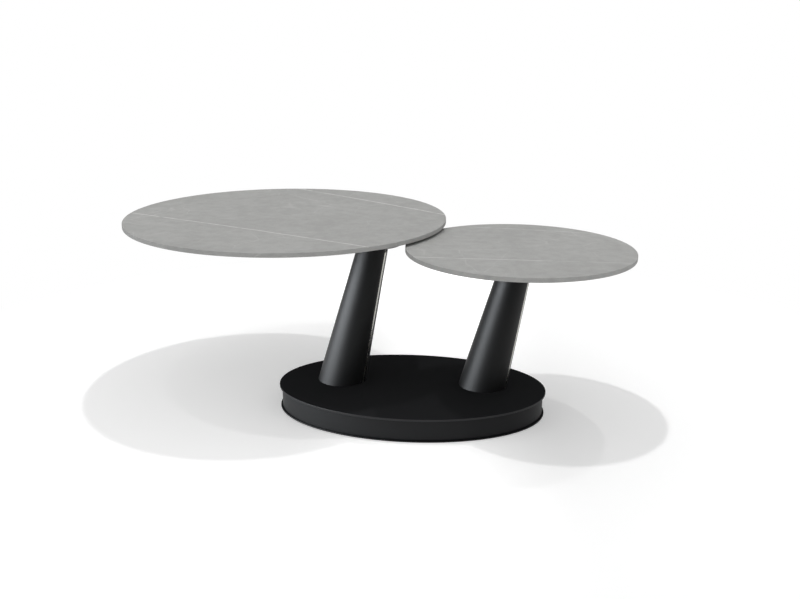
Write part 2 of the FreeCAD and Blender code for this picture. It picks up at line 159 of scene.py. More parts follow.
class Shader:
    """The node tree of a material or a world under construction."""

    MIX_FACTOR = 0
    MIX_FIRST_COLOUR = 6
    MIX_SECOND_COLOUR = 7
    MIX_COLOUR = 2

    def __init__(self, owner: Union[bpy.types.Material, bpy.types.World]) -> None:
        """Start with an empty tree.

        Args:
            owner: Material or world that the tree belongs to.
        """
        self.owner = owner
        owner.use_nodes = True
        self.tree = owner.node_tree
        self.tree.nodes.clear()

    def add(self, kind: str, settings: Optional[Settings] = None,
            inputs: Optional[Sockets] = None) -> bpy.types.Node:
        """Add one node.

        Args:
            kind: Blender's type name of the node.
            settings: Properties, which are set first.
            inputs: Values or links of its sockets by name or index.

        Returns:
            The new node.
        """
        made = self.tree.nodes.new(kind)
        for key, setting in (settings or {}).items():
            setattr(made, key, setting)
        for key, given in (inputs or {}).items():
            if isinstance(given, Value):
                self.tree.links.new(given.socket, made.inputs[key])
            else:
                made.inputs[key].default_value = given
        return made

    def node(self, kind: str, settings: Optional[Settings] = None, inputs: Optional[Sockets] = None,
             output: Union[str, int] = 0) -> Value:
        """Add one node and return the output of a name or an index."""
        return Value(self, self.add(kind, settings, inputs).outputs[output])

    def math(self, operation: str, *operands: Number) -> Value:
        """One Math node on values or numbers."""
        return self.node("ShaderNodeMath", {"operation": operation}, dict(enumerate(operands)))

    def place(self) -> Value:
        """Object coordinates."""
        return self.node("ShaderNodeTexCoord", output="Object")

    def parts(self, vector: Value) -> tuple[Value, Value, Value]:
        """The three components of a vector."""
        split = self.add("ShaderNodeSeparateXYZ", inputs={0: vector})
        return tuple(Value(self, socket) for socket in split.outputs)

    def stretched(self, vector: Value, scale: Point) -> Value:
        """Coordinates scaled along each axis."""
        return self.node("ShaderNodeVectorMath", {"operation": "MULTIPLY"}, {0: vector, 1: scale})

    def noise(self, vector: Value, kind: Noise, output: Union[str, int] = 0) -> Value:
        """Smooth noise from 0 to 1.

        Args:
            vector: Coordinates in metres.
            kind: Scale, octaves and roughness of the noise.
            output: Output of the noise node, the value unless "Color" is asked for.

        Returns:
            The noise.
        """
        return self.node("ShaderNodeTexNoise", None, {
            "Vector": vector, "Scale": kind.scale,
            "Detail": kind.detail, "Roughness": kind.roughness}, output)

    def cells(self, vector: Value, scale: float, measure: Cells = Cells.POINT) -> Value:
        """Distance to the nearest of scattered points, or to the nearest cell wall, in cells."""
        return self.node("ShaderNodeTexVoronoi", {"feature": measure.value},
                         {"Vector": vector, "Scale": scale}, "Distance")

    def step(self, value: Value, span: Span) -> Value:
        """Smooth step from 0 at the span's start to 1 at its end, which may be the lower one."""
        first = 0.0 if span[0] < span[1] else 1.0
        return self.node("ShaderNodeMapRange", {"interpolation_type": "SMOOTHSTEP"}, {
            "Value": value, "From Min": min(span), "From Max": max(span),
            "To Min": first, "To Max": 1.0 - first})

    def blend(self, factor: Number, first: Union[Colour, Value], second: Union[Colour, Value]) -> Value:
        """Mix of two colours or vectors by a factor from 0 to 1."""
        ends = [end if isinstance(end, Value) else (*end, 1.0) for end in (first, second)]
        return self.node("ShaderNodeMix", {"data_type": "RGBA", "clamp_factor": True}, {
            self.MIX_FACTOR: factor, self.MIX_FIRST_COLOUR: ends[0], self.MIX_SECOND_COLOUR: ends[1]},
            self.MIX_COLOUR)

    def bump(self, height: Value, distance: float, strength: float) -> Value:
        """Normal bent by a height map.

        Args:
            height: Height from 0 to 1.
            distance: Height in metres at 1.
            strength: Share of the effect.

        Returns:
            The bent normal.
        """
        return self.node("ShaderNodeBump", None,
                         {"Strength": strength, "Distance": distance, "Height": height})

    def finish(self, sockets: Sockets) -> bpy.types.Material:
        """Close the material with one principled surface, given the values or links of its sockets."""
        return self.close(self.node("ShaderNodeBsdfPrincipled", inputs=sockets))

    def close(self, surface: Value, output: str = "ShaderNodeOutputMaterial"
              ) -> Union[bpy.types.Material, bpy.types.World]:
        """Link a surface to the tree's output and return the owner."""
        self.add(output, inputs={"Surface": surface})
        return self.owner


@dataclass(frozen=True)
class Vein:
    """A thin pale vein through three points of a slab's face, in metres from its centre."""

    start: PlanPoint
    middle: PlanPoint
    end: PlanPoint
    width: float
    strength: float
    wander: float = 3.0 * MM
    core_share: float = 0.2
    fade: float = 30.0 * MM
    gap_span: Span = (0.26, 0.52)

    def mask(self, shader: Shader, x: Value, y: Value, drift: Value, gaps: Value) -> Value:
        """How strongly the vein shows at each point.

        The line is a parabola over the chord from start to end that passes through the middle point. The
        distance from it, pushed aside by a drift, falls off over the width; the ends fade out and gaps
        break the line up.

        Args:
            shader: Material under construction.
            x: Distance from the slab's centre along X.
            y: Distance from the slab's centre along Y.
            drift: Noise that bends the vein.
            gaps: Noise that thins it.

        Returns:
            Mask from 0 to the vein's strength.
        """
        run = np.subtract(self.end, self.start)
        length = float(np.hypot(*run))
        ahead = run / length
        aside = np.array([-run[1], run[0]]) / length
        to_middle = np.subtract(self.middle, self.start)
        share = float(to_middle @ ahead) / length
        bow = float(to_middle @ aside) / (share * (1.0 - share) * length ** 2)
        from_x, from_y = x - self.start[0], y - self.start[1]
        along = from_x * float(ahead[0]) + from_y * float(ahead[1])
        across = from_x * float(aside[0]) + from_y * float(aside[1])
        curve = along * (length - along) * bow
        away = abs(across - curve + drift.swing(2 * self.wander))
        line = shader.step(away, (self.width, self.core_share * self.width))
        first_end = shader.step(along, (-self.fade, self.fade))
        last_end = shader.step(along, (length + self.fade, length - self.fade))
        return line * (first_end * last_end) * shader.step(gaps, self.gap_span) * self.strength


@dataclass(frozen=True)
class HonedStone:
    """Honed mid-grey stone: even mottling, pale flecks, hairlines and a few thin veins.

    The tone's weights are those of mottling, clouds and grain, and the relief's those of grain, mottling
    and the pits at the flecks.
    """

    name: str
    centre: PlanPoint
    underside: float
    face_level: float
    veins: tuple[Vein, ...]
    dark: Colour = (0.342, 0.342, 0.333)
    light: Colour = (0.404, 0.404, 0.395)
    fleck: Colour = (0.495, 0.495, 0.484)
    vein: Colour = (0.69, 0.69, 0.675)
    raw: Colour = (0.215, 0.216, 0.209)
    mottling: Noise = Noise(38.0, 6.0, 0.68)
    clouding: Noise = Noise(6.0, 3.0, 0.55)
    graining: Noise = Noise(520.0, 2.0, 0.6)
    tone_weights: tuple[float, float, float] = (0.5, 0.25, 0.25)
    tone_span: Span = (0.36, 0.64)
    fleck_scale: float = 75.0
    fleck_span: Span = (0.13, 0.05)
    fleck_patches: Span = (0.5, 0.62)
    fleck_share: float = 0.7
    hair_scale: float = 7.5
    hair_warping: Noise = Noise(9.0, 4.0, 0.5)
    hair_warp: float = 0.045
    hair_span: Span = (0.016, 0.004)
    hair_patches: Span = (0.48, 0.62)
    hair_share: float = 0.4
    vein_drift: Noise = Noise(16.0, 5.0, 0.62)
    vein_gaps: Noise = Noise(30.0, 3.0, 0.6)
    vein_depth: Span = (1.0 * MM, 0.5 * MM)
    raw_height: Span = (0.6 * MM, 0.3 * MM)
    roughness: float = 0.66
    roughness_swing: float = 0.12
    vein_roughness: float = 0.06
    raw_roughness: float = 0.25
    most_roughness: float = 0.9
    relief_weights: tuple[float, float, float] = (0.7, 0.3, 0.2)
    relief_height: float = 0.04 * MM
    relief_strength: float = 0.3
    specular: float = 0.03

    def material(self) -> bpy.types.Material:
        """Build the stone.

        Returns:
            The material.
        """
        shader = Shader(bpy.data.materials.new(self.name))
        place = shader.place()
        x, y, z = shader.parts(place)
        mottle = shader.noise(place, self.mottling)
        clouds = shader.noise(place, self.clouding)
        grain = shader.noise(place, self.graining)
        of_mottle, of_clouds, of_grain = self.tone_weights
        tone = shader.step(mottle * of_mottle + clouds * of_clouds + grain * of_grain, self.tone_span)
        flecks = shader.step(shader.cells(place, self.fleck_scale), self.fleck_span)
        flecks = flecks * shader.step(mottle, self.fleck_patches)
        warped = shader.blend(self.hair_warp, place, shader.noise(place, self.hair_warping, "Color"))
        hairs = shader.step(shader.cells(warped, self.hair_scale, Cells.WALL), self.hair_span)
        hairs = hairs * shader.step(clouds, self.hair_patches)
        pale = (flecks * self.fleck_share).at_least(hairs * self.hair_share)
        ground = shader.blend(pale, shader.blend(tone, self.dark, self.light), self.fleck)
        near_face = shader.step(z, tuple(self.face_level - depth for depth in self.vein_depth))
        from_x, from_y = x - self.centre[0], y - self.centre[1]
        drift, gaps = shader.noise(place, self.vein_drift), shader.noise(place, self.vein_gaps)
        masks = [vein.mask(shader, from_x, from_y, drift, gaps) for vein in self.veins]
        veins = reduce(Value.at_least, masks) * near_face
        below = shader.step(z, tuple(self.underside + height for height in self.raw_height))
        colour = shader.blend(below, shader.blend(veins, ground, self.vein), self.raw)
        rough = self.roughness + mottle.swing(self.roughness_swing)
        rough = rough + veins * self.vein_roughness + below * self.raw_roughness
        of_grain, of_mottle, of_flecks = self.relief_weights
        relief = grain * of_grain + mottle * of_mottle - flecks * of_flecks
        return shader.finish({"Base Color": colour, "Roughness": rough.at_most(self.most_roughness),
                              "Specular IOR Level": self.specular,
                              "Normal": shader.bump(relief, self.relief_height, self.relief_strength)})


@dataclass(frozen=True)
class Paint:
    """Black paint with a fine pebbled skin, faint handling marks and, below a level, a satin coat."""

    name: str
    colour: Colour
    rub: Colour
    roughness: float
    specular: float
    pebbling: Noise = Noise(900.0, 2.0, 0.5)
    pebble_height: float = 0.03 * MM
    pebble_strength: float = 0.5
    pebble_roughness: float = 0.06
    clouding: Noise = Noise(11.0, 4.0, 0.6)
    cloud_from: float = 0.3
    cloud_rub: float = 0.5
    cloud_roughness: float = 0.08
    dusting: Noise = Noise(260.0, 2.0, 0.6)
    dust_span: Span = (0.62, 0.82)
    dust_patches: Span = (0.35, 0.7)
    dust_rub: float = 0.3
    coat: float = 0.0
    coat_below: float = 1.0
    coat_edge: float = 0.6 * MM
    coat_roughness: float = 0.38

    def material(self) -> bpy.types.Material:
        """Build the paint.

        Returns:
            The material.
        """
        shader = Shader(bpy.data.materials.new(self.name))
        place = shader.place()
        pebble = shader.noise(place, self.pebbling)
        cloud = shader.noise(place, self.clouding)
        dust = shader.step(shader.noise(place, self.dusting), self.dust_span)
        dust = dust * shader.step(cloud, self.dust_patches)
        rubbed = (cloud - self.cloud_from).at_least(0.0) * self.cloud_rub + dust * self.dust_rub
        rough = self.roughness + cloud.swing(self.cloud_roughness) + pebble.swing(self.pebble_roughness)
        satin: Number = 0.0
        if self.coat > 0.0:
            _, _, z = shader.parts(place)
            satin = shader.step(z, (self.coat_below, self.coat_below - self.coat_edge)) * self.coat
        return shader.finish({"Base Color": shader.blend(rubbed, self.colour, self.rub),
                              "Roughness": rough, "Specular IOR Level": self.specular,
                              "Coat Weight": satin, "Coat Roughness": self.coat_roughness,
                              "Normal": shader.bump(pebble, self.pebble_height, self.pebble_strength)})


@dataclass(frozen=True)
class Metal:
    """Bare metal with tool marks along one axis, or turned marks where the grain is even."""

    name: str
    colour: Colour
    tint: Colour
    roughness: float
    grain: Point
    grain_depth: float = 0.01 * MM
    grain_strength: float = 0.4
    grain_tint: float = 0.3
    grain_roughness: float = 0.12
    marking: Noise = Noise(1.0, 3.0, 0.65)
    staining: Noise = Noise(34.0, 4.0, 0.6)
    stain_span: Span = (0.42, 0.72)
    stain_tint: float = 0.7
    stain_roughness: float = 0.1
    least_roughness: float = 0.02

    def material(self) -> bpy.types.Material:
        """Build the metal.

        Returns:
            The material.
        """
        shader = Shader(bpy.data.materials.new(self.name))
        place = shader.place()
        marks = shader.noise(shader.stretched(place, self.grain), self.marking)
        stain = shader.noise(place, self.staining)
        tinted = shader.step(stain, self.stain_span) * self.stain_tint + marks.swing(self.grain_tint)
        rough = self.roughness + marks.swing(self.grain_roughness) + stain.swing(self.stain_roughness)
        return shader.finish({"Base Color": shader.blend(tinted, self.colour, self.tint),
                              "Roughness": rough.at_least(self.least_roughness), "Metallic": 1.0,
                              "Normal": shader.bump(marks, self.grain_depth, self.grain_strength)})


@dataclass(frozen=True)
class Aggregate:
    """Matt grainy solid such as cast concrete or ribbed rubber."""

    name: str
    colour: Colour
    spot: Colour
    roughness: float
    grain_scale: float
    grain_height: float
    grain_strength: float = 0.7
    grain_fineness: float = 3.0
    grain_octaves: float = 2.0
    grain_octave_weight: float = 0.6
    pore_span: Span = (0.32, 0.12)
    pore_spot: float = 0.4
    clouding: Noise = Noise(16.0, 5.0, 0.6)
    cloud_weight: float = 0.6
    tone_span: Span = (0.35, 0.65)
    tone_spot: float = 0.6
    cloud_roughness: float = 0.1
    specular: float = 0.3

    def material(self) -> bpy.types.Material:
        """Build the solid.

        Returns:
            The material.
        """
        shader = Shader(bpy.data.materials.new(self.name))
        place = shader.place()
        pores = shader.step(shader.cells(place, self.grain_scale), self.pore_span)
        cloud = shader.noise(place, self.clouding)
        grain = shader.noise(place, Noise(self.grain_fineness * self.grain_scale, self.grain_octaves,
                                          self.grain_octave_weight))
        tone = shader.step(cloud * self.cloud_weight + grain * (1.0 - self.cloud_weight), self.tone_span)
        spotted = tone * self.tone_spot + pores * self.pore_spot
        rough = self.roughness + cloud.swing(self.cloud_roughness)
        normal = shader.bump(grain - pores, self.grain_height, self.grain_strength)
        return shader.finish({"Base Color": shader.blend(spotted, self.colour, self.spot),
                              "Roughness": rough, "Specular IOR Level": self.specular, "Normal": normal})


LID_PAINT = Paint("matt_black_lid", colour=(0.0182, 0.0187, 0.0199), rub=(0.022, 0.0225, 0.0238),
                  roughness=0.75, specular=0.012, coat=0.55)
BAND_PAINT = Paint("satin_black_band", colour=(0.0042, 0.0046, 0.0056), rub=(0.007, 0.0075, 0.0088),
                   roughness=0.5, specular=0.22)
LEG_PAINT = Paint("satin_black_leg", colour=(0.0078, 0.008, 0.0083), rub=(0.011, 0.0112, 0.0116),
                  roughness=0.5, specular=0.25, pebbling=Noise(700.0, 2.0, 0.5), pebble_height=0.02 * MM)
STRIP_METAL = Metal("brushed_strip", colour=(0.5, 0.493, 0.455), tint=(0.43, 0.423, 0.39),
                    roughness=0.27, grain=(900.0, 900.0, 3.0), grain_depth=0.002 * MM)
MILLED_STEEL = Metal("milled_steel", colour=(0.4, 0.4, 0.405), tint=(0.31, 0.305, 0.3),
                     roughness=0.4, grain=(60.0, 900.0, 60.0))
ZINC_STEEL = Metal("zinc_plate", colour=(0.55, 0.555, 0.56), tint=(0.47, 0.465, 0.45),
                   roughness=0.33, grain=(420.0, 420.0, 420.0))
GROUND_STEEL = Metal("ground_steel", colour=(0.62, 0.62, 0.63), tint=(0.55, 0.55, 0.555),
                     roughness=0.16, grain=(700.0, 700.0, 700.0))
TURNED_BRASS = Metal("turned_brass", colour=(0.7, 0.5, 0.23), tint=(0.58, 0.4, 0.17),
                     roughness=0.28, grain=(140.0, 140.0, 1400.0))
CAST_CONCRETE = Aggregate("cast_concrete", colour=(0.34, 0.33, 0.31), spot=(0.24, 0.235, 0.225),
                          roughness=0.88, grain_scale=130.0, grain_height=0.5 * MM)
RUBBER = Aggregate("floor_pad_rubber", colour=(0.02, 0.02, 0.021), spot=(0.032, 0.032, 0.033),
                   roughness=0.8, grain_scale=420.0, grain_height=0.1 * MM)

CAD_FINISHES: dict[Union[Metal, Aggregate], tuple[str, ...]] = {
    MILLED_STEEL: ("base_posts", "large_leg_foot_plate", "small_leg_foot_plate", "large_leg_head_plate",
                   "small_leg_head_plate", "swivel_housing", "large_carrier_disc", "small_carrier_disc",
                   "swivel_spindle"),
    ZINC_STEEL: ("base_screws", "leg_bolts", "small_head_bolts", "spindle_washer", "spindle_lock_nut"),
    GROUND_STEEL: ("swivel_lower_race", "swivel_upper_race", "swivel_balls"),
    TURNED_BRASS: ("swivel_upper_bush", "swivel_lower_bush", "swivel_ball_cage", "large_slab_inserts",
                   "small_slab_inserts"),
    CAST_CONCRETE: ("base_ballast",),
}

# Points round an oval, points of an eased corner, and the set-back of the extra point beside it in eases
AROUND = 288
EASE_STEPS = 6
CORNER_POINTS = EASE_STEPS + 2
SUPPORT_SHARE = 0.6
INWARD = np.array([-1.0, 0.0])


def plan_centre(node: str) -> PlanPoint:
    """Middle of a CAD node in plan."""
    low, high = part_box(node)
    return ((low.x + high.x) / 2, (low.y + high.y) / 2)


def unit(vectors: np.ndarray) -> np.ndarray:
    """Vectors of length 1 along the given ones."""
    return vectors / np.linalg.norm(vectors, axis=-1, keepdims=True)


def eased(corners: np.ndarray, before: np.ndarray, after: np.ndarray, ease: float) -> np.ndarray:
    """Outline with eased corners.

    Each corner becomes a parabola between two points set back by ease along its sides, with one more
    point on each side that keeps the flat face's shading flat.

    Args:
        corners: Corner points, one per row.
        before: The point before each corner.
        after: The point after each corner.
        ease: Set-back from the corner.

    Returns:
        Points of the eased outline in order, CORNER_POINTS for each corner.
    """
    arriving, leaving = unit(corners - before), unit(after - corners)
    first, last = corners - arriving * ease, corners + leaving * ease
    t = np.linspace(0.0, 1.0, EASE_STEPS)[None, :, None]
    curve = (1 - t) ** 2 * first[:, None] + 2 * t * (1 - t) * corners[:, None] + t ** 2 * last[:, None]
    lead, trail = first - arriving * ease * SUPPORT_SHARE, last + leaving * ease * SUPPORT_SHARE
    return np.concatenate([lead[:, None], curve, trail[:, None]], axis=1).reshape(-1, 2)


def eased_loop(corners: np.ndarray, ease: float) -> np.ndarray:
    """Closed outline with eased corners."""
    return eased(corners, np.roll(corners, 1, axis=0), np.roll(corners, -1, axis=0), ease)


def plate_outline(bottom: float, top: float, ease: float) -> np.ndarray:
    """Edge of a plate from its underside round to its top face, as (reach, level) points."""
    corners = np.array([[0.0, bottom], [0.0, top]])
    before = np.array([corners[0] + INWARD, corners[0]])
    after = np.array([corners[1], corners[1] + INWARD])
    return eased(corners, before, after, ease)


def wall_outline(wall: float, bottom: float, top: float, ease: float) -> np.ndarray:
    """Closed section of an upright wall with its outer face at reach 0, as (reach, level) points."""
    return eased_loop(np.array([[0.0, bottom], [0.0, top], [-wall, top], [-wall, bottom]]), ease)


def oval_rings(centre: PlanPoint, half_length: float, half_width: float,
               outline: np.ndarray) -> np.ndarray:
    """Outline carried round an oval.

    At angle t, a point of reach r lies at ((half_length + r) cos t, (half_width + r) sin t).

    Args:
        centre: Middle of the oval in plan.
        half_length: Half of the oval's length.
        half_width: Half of its width.
        outline: (reach, level) points; reach 0 is the oval itself.

    Returns:
        Rings of points, one ring per outline point.
    """
    t = np.linspace(0.0, 2 * np.pi, AROUND, endpoint=False)[None, :]
    reach, level = outline[:, 0, None], outline[:, 1, None]
    x = centre[0] + (half_length + reach) * np.cos(t)
    y = centre[1] + (half_width + reach) * np.sin(t)
    return np.stack([x, y, np.broadcast_to(level, x.shape)], axis=-1)


def skin(name: str, rings: np.ndarray, start: Optional[Pole] = None, end: Optional[Pole] = None,
         loop: bool = False, places: Optional[np.ndarray] = None) -> bpy.types.Object:
    """Closed skin over rings of points, once at each place.

    Quads join point j of ring i to its neighbours in the ring and in ring i + 1. The ends close in a fan
    to a pole, or the last ring joins the first. All quads come before the fans.

    Args:
        name: Name of the piece.
        rings: Points by ring, place round the ring and axis.
        start: Pole before the first ring.
        end: Pole after the last ring.
        loop: Whether the last ring joins the first.
        places: Offsets of the copies; one copy in place if left out.

    Returns:
        The new object.
    """
    count, around = rings.shape[:2]
    points = [rings.reshape(-1, 3)]
    j = np.arange(around)
    following = (j + 1) % around
    row = np.arange(count if loop else count - 1)[:, None] * around
    above = (row + around) % (count * around)
    quads = np.stack([row + j, row + following, above + following, above + j], axis=-1).reshape(-1, 4)
    fans = []
    if start is not None:
        pole = np.full(around, count * around)
        points.append(np.reshape(start, (1, 3)))
        fans.append(np.stack([pole, following, j], axis=-1))
    if end is not None:
        pole = np.full(around, sum(len(block) for block in points))
        last = (count - 1) * around
        points.append(np.reshape(end, (1, 3)))
        fans.append(np.stack([last + j, last + following, pole], axis=-1))
    shape = np.concatenate(points)
    offsets = np.zeros((1, 3)) if places is None else places
    vertices = (shape[None] + offsets[:, None]).reshape(-1, 3)
    shift = np.arange(len(offsets))[:, None, None] * len(shape)
    faces = (quads[None] + shift).reshape(-1, 4).tolist()
    for fan in fans:
        faces += (fan[None] + shift).reshape(-1, 3).tolist()
    mesh = bpy.data.meshes.new(name)
    mesh.from_pydata(vertices.tolist(), [], faces)
    mesh.polygons.foreach_set("use_smooth", np.ones(len(mesh.polygons), dtype=bool))
    mesh.update()
    made = bpy.data.objects.new(name, mesh)
    bpy.context.scene.collection.objects.link(made)
    return made


def settle(piece: bpy.types.Object, material: bpy.types.Material, body: Body,
           node: str) -> None:
    """Dress a new piece and set it in its CAD node's stead.

    Args:
        piece: The new piece.
        material: Its finish.
        body: Body that it rides on.
        node: CAD node that it stands for.
    """
    piece.data.materials.append(material)
    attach(piece, body.value)
    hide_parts(node)
    LOG.info("%s: %d faces on %s", piece.name, len(piece.data.polygons), body.value)


@dataclass
class StoneTop:
    """A round stone slab with eased edges."""

    node: str
    body: Body
    veins: tuple[Vein, ...]
    ease: float = 0.8 * MM

    def build(self) -> None:
        """Make the slab where its CAD node is."""
        low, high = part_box(self.node)
        centre = plan_centre(self.node)
        radius = (high.x - low.x) / 2
        rings = oval_rings(centre, radius, radius, plate_outline(low.z, high.z, self.ease))
        piece = skin(self.node + "_stone", rings, (*centre, low.z), (*centre, high.z))
        stone = HonedStone(self.node + "_stone", centre, low.z, high.z, self.veins)
        settle(piece, stone.material(), self.body, self.node)


@dataclass
class OvalBase:
    """The oval base: lid, band, bottom plate and floor pad."""

    centre: PlanPoint = (0.0, 0.0)
    lid_ease: float = 0.9 * MM
    band_ease: float = 0.7 * MM
    plate_ease: float = 0.6 * MM
    pad_ease: float = 0.4 * MM
    band_wall: float = 3.0 * MM

    def build(self) -> None:
        """Make the four pieces where their CAD nodes are."""
        lid_paint = replace(LID_PAINT, coat_below=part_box("base_lid")[1].z)
        self._plate("base_lid", self.lid_ease, lid_paint)
        self._plate("base_bottom_plate", self.plate_ease, BAND_PAINT)
        self._plate("base_floor_pad", self.pad_ease, RUBBER)
        low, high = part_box("base_band")
        outline = wall_outline(self.band_wall, low.z, high.z, self.band_ease)
        band = skin("base_band_wall", oval_rings(self.centre, high.x, high.y, outline), loop=True)
        settle(band, BAND_PAINT.material(), Body.BASE, "base_band")

    def _plate(self, node: str, ease: float, finish: Union[Paint, Aggregate]) -> None:
        """Make one oval plate.

        Args:
            node: CAD node that it stands for.
            ease: Set-back of its eased edges.
            finish: Its finish.
        """
        low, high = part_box(node)
        rings = oval_rings(self.centre, high.x, high.y, plate_outline(low.z, high.z, ease))
        piece = skin(node + "_oval", rings, (*self.centre, low.z), (*self.centre, high.z))
        settle(piece, finish.material(), Body.BASE, node)


@dataclass
class Leg:
    """A leaning tapered leg with a bright strip let into its side.

    lip_across goes from outside the groove to its floor, in lips from the groove's edge, and lip_drop is
    the drop of the rounded edge in lips. Beyond strip_dark_from the strip is painted like the leg.
    """

    side: Side
    foot_diameter: float = 110.5 * MM
    head_diameter: float = 69.5 * MM
    lean_degrees: float = 12.7
    wall: float = 3.0 * MM
    ease: float = 0.7 * MM
    strip_bearing_degrees: float = -20.5
    strip_width: float = 10.0 * MM
    strip_depth: float = 1.5 * MM
    strip_fit: float = 0.05 * MM
    strip_ease: float = 0.7 * MM
    strip_dark_from: float = 1.0 * MM
    strip_face_points: int = 9
    strip_face_margin: int = 2
    strip_levels: int = 25
    lip: float = 0.25 * MM
    lip_across: tuple[float, ...] = (3.0, 1.0, 0.0, -0.1, -1.0, -3.0)
    lip_drop: float = 0.4
    foot_level: float = field(init=False)
    head_level: float = field(init=False)
    lean_sin: float = field(init=False)
    lean_cos: float = field(init=False)
    taper: float = field(init=False)
    foot: PlanPoint = field(init=False)

    def __post_init__(self) -> None:
        """Read the leg's ends from its CAD nodes."""
        low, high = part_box(self.side.value + "_leg_shell")
        self.foot_level, self.head_level = low.z, high.z
        lean = math.radians(self.lean_degrees)
        self.lean_sin, self.lean_cos = math.sin(lean), math.cos(lean)
        rise = self.head_level - self.foot_level
        self.taper = (self.head_diameter - self.foot_diameter) / 2 * self.lean_cos / rise
        head_x, head_y = plan_centre(self.side.value + "_carrier_disc")
        self.foot = (head_x - rise * math.tan(lean), head_y)

    def radius(self, level: np.ndarray) -> np.ndarray:
        """Radius square to the axis, where the axis passes a level."""
        return self.foot_diameter / 2 + self.taper * (level - self.foot_level) / self.lean_cos

    def on_side(self, level: np.ndarray, angle: np.ndarray, reach: np.ndarray) -> np.ndarray:
        """Points at a level that stand off the leg's side by a reach.

        Square to its leaning axis the leg is round. At an angle from the way it leans, the point at
        distance s along the axis has the radius r = foot radius + reach + taper s, and it rises to
        s cos(lean) - r cos(angle) sin(lean) above the foot; s is solved from that for the wanted level.

        Args:
            level: Heights above the floor.
            angle: Angles about the axis.
            reach: Distances outward from the side.

        Returns:
            Points, one row of X, Y and Z each.
        """
        level, angle, reach = np.broadcast_arrays(level, angle, reach)
        start = self.foot_diameter / 2 + reach
        dip = np.cos(angle) * self.lean_sin
        along = (level - self.foot_level + start * dip) / (self.lean_cos - self.taper * dip)
        radius = start + self.taper * along
        x = self.foot[0] + along * self.lean_sin + radius * np.cos(angle) * self.lean_cos
        return np.stack([x, self.foot[1] + radius * np.sin(angle), level], axis=-1)

    def shell(self) -> bpy.types.Object:
        """Tube wall with a groove for the strip.

        The closed wall section is carried round the leaning axis. The angle runs across the groove from
        lip to lip and then the long way round, and the groove's depth is taken off the outer face only.

        Returns:
            The shell.
        """
        outline = wall_outline(self.wall, self.foot_level, self.head_level, self.ease)
        reach, level = outline[:, :1], outline[:, 1:]
        half = self.strip_width / 2 + self.strip_fit
        depth = self.strip_depth + self.strip_fit
        drop = self.lip_drop * self.lip
        across = half + self.lip * np.array(self.lip_across)
        sunk = np.array([0.0, 0.0, drop, depth - drop, depth, depth])
        across = np.concatenate([-across, across[::-1]])
        sunk = np.concatenate([sunk, sunk[::-1]])
        groove = np.arcsin(across[None, :] / (self.radius(level) + reach))
        long_way = np.linspace(0.0, 1.0, AROUND)[None, 1:-1]
        rest = groove[:, -1:] + (2 * np.pi - 2 * groove[:, -1:]) * long_way
        angle = np.concatenate([groove, rest], axis=1) + math.radians(self.strip_bearing_degrees)
        taken = np.concatenate([sunk, np.zeros(long_way.shape[1])])[None, :] * (reach > -self.wall / 2)
        return skin(self.side.value + "_leg_tube", self.on_side(level, angle, reach - taken), loop=True)

    def strip(self) -> bpy.types.Object:
        """Strip with eased edges and its face on the leg's round side.

        A section of the strip is carried straight up the leg: a point at a across and d deep lies at the
        angle arcsin(a / radius) from the strip's middle and stands off the side by -d. Faces whose middle
        lies beyond strip_dark_from take the second material.

        Returns:
            The strip.
        """
        half, depth, margin = self.strip_width / 2, self.strip_depth, self.strip_face_margin
        section = eased_loop(np.array([[0.0, -half], [0.0, half], [-depth, half], [-depth, -half]]),
                             self.strip_ease)
        face = np.linspace(-half, half, self.strip_face_points + 2 * margin)[margin:-margin]
        section = np.insert(section, CORNER_POINTS, np.stack([0 * face, face], axis=-1), axis=0)
        level = np.linspace(self.foot_level, self.head_level, self.strip_levels)[:, None]
        deep, across = section[None, :, 0], section[None, :, 1]
        angle = np.arcsin(across / (self.radius(level) + deep)) + math.radians(self.strip_bearing_degrees)
        rings = self.on_side(level, angle, deep)
        foot_middle, head_middle = rings[0].mean(axis=0), rings[-1].mean(axis=0)
        piece = skin(self.side.value + "_leg_bright_strip", rings, foot_middle, head_middle)
        middle = (section[:, 1] + np.roll(section[:, 1], -1)) / 2
        dark = np.tile(middle > self.strip_dark_from, self.strip_levels - 1)
        indices = np.zeros(len(piece.data.polygons), dtype=np.int32)
        indices[:len(dark)] = dark
        piece.data.polygons.foreach_set("material_index", indices)
        return piece

    def build(self) -> None:
        """Make the shell and the strip."""
        shell_node, strip_node = self.side.value + "_leg_shell", self.side.value + "_leg_strip"
        settle(self.shell(), LEG_PAINT.material(), Body.BASE, shell_node)
        strip = self.strip()
        settle(strip, STRIP_METAL.material(), Body.BASE, strip_node)
        strip.data.materials.append(LEG_PAINT.material())


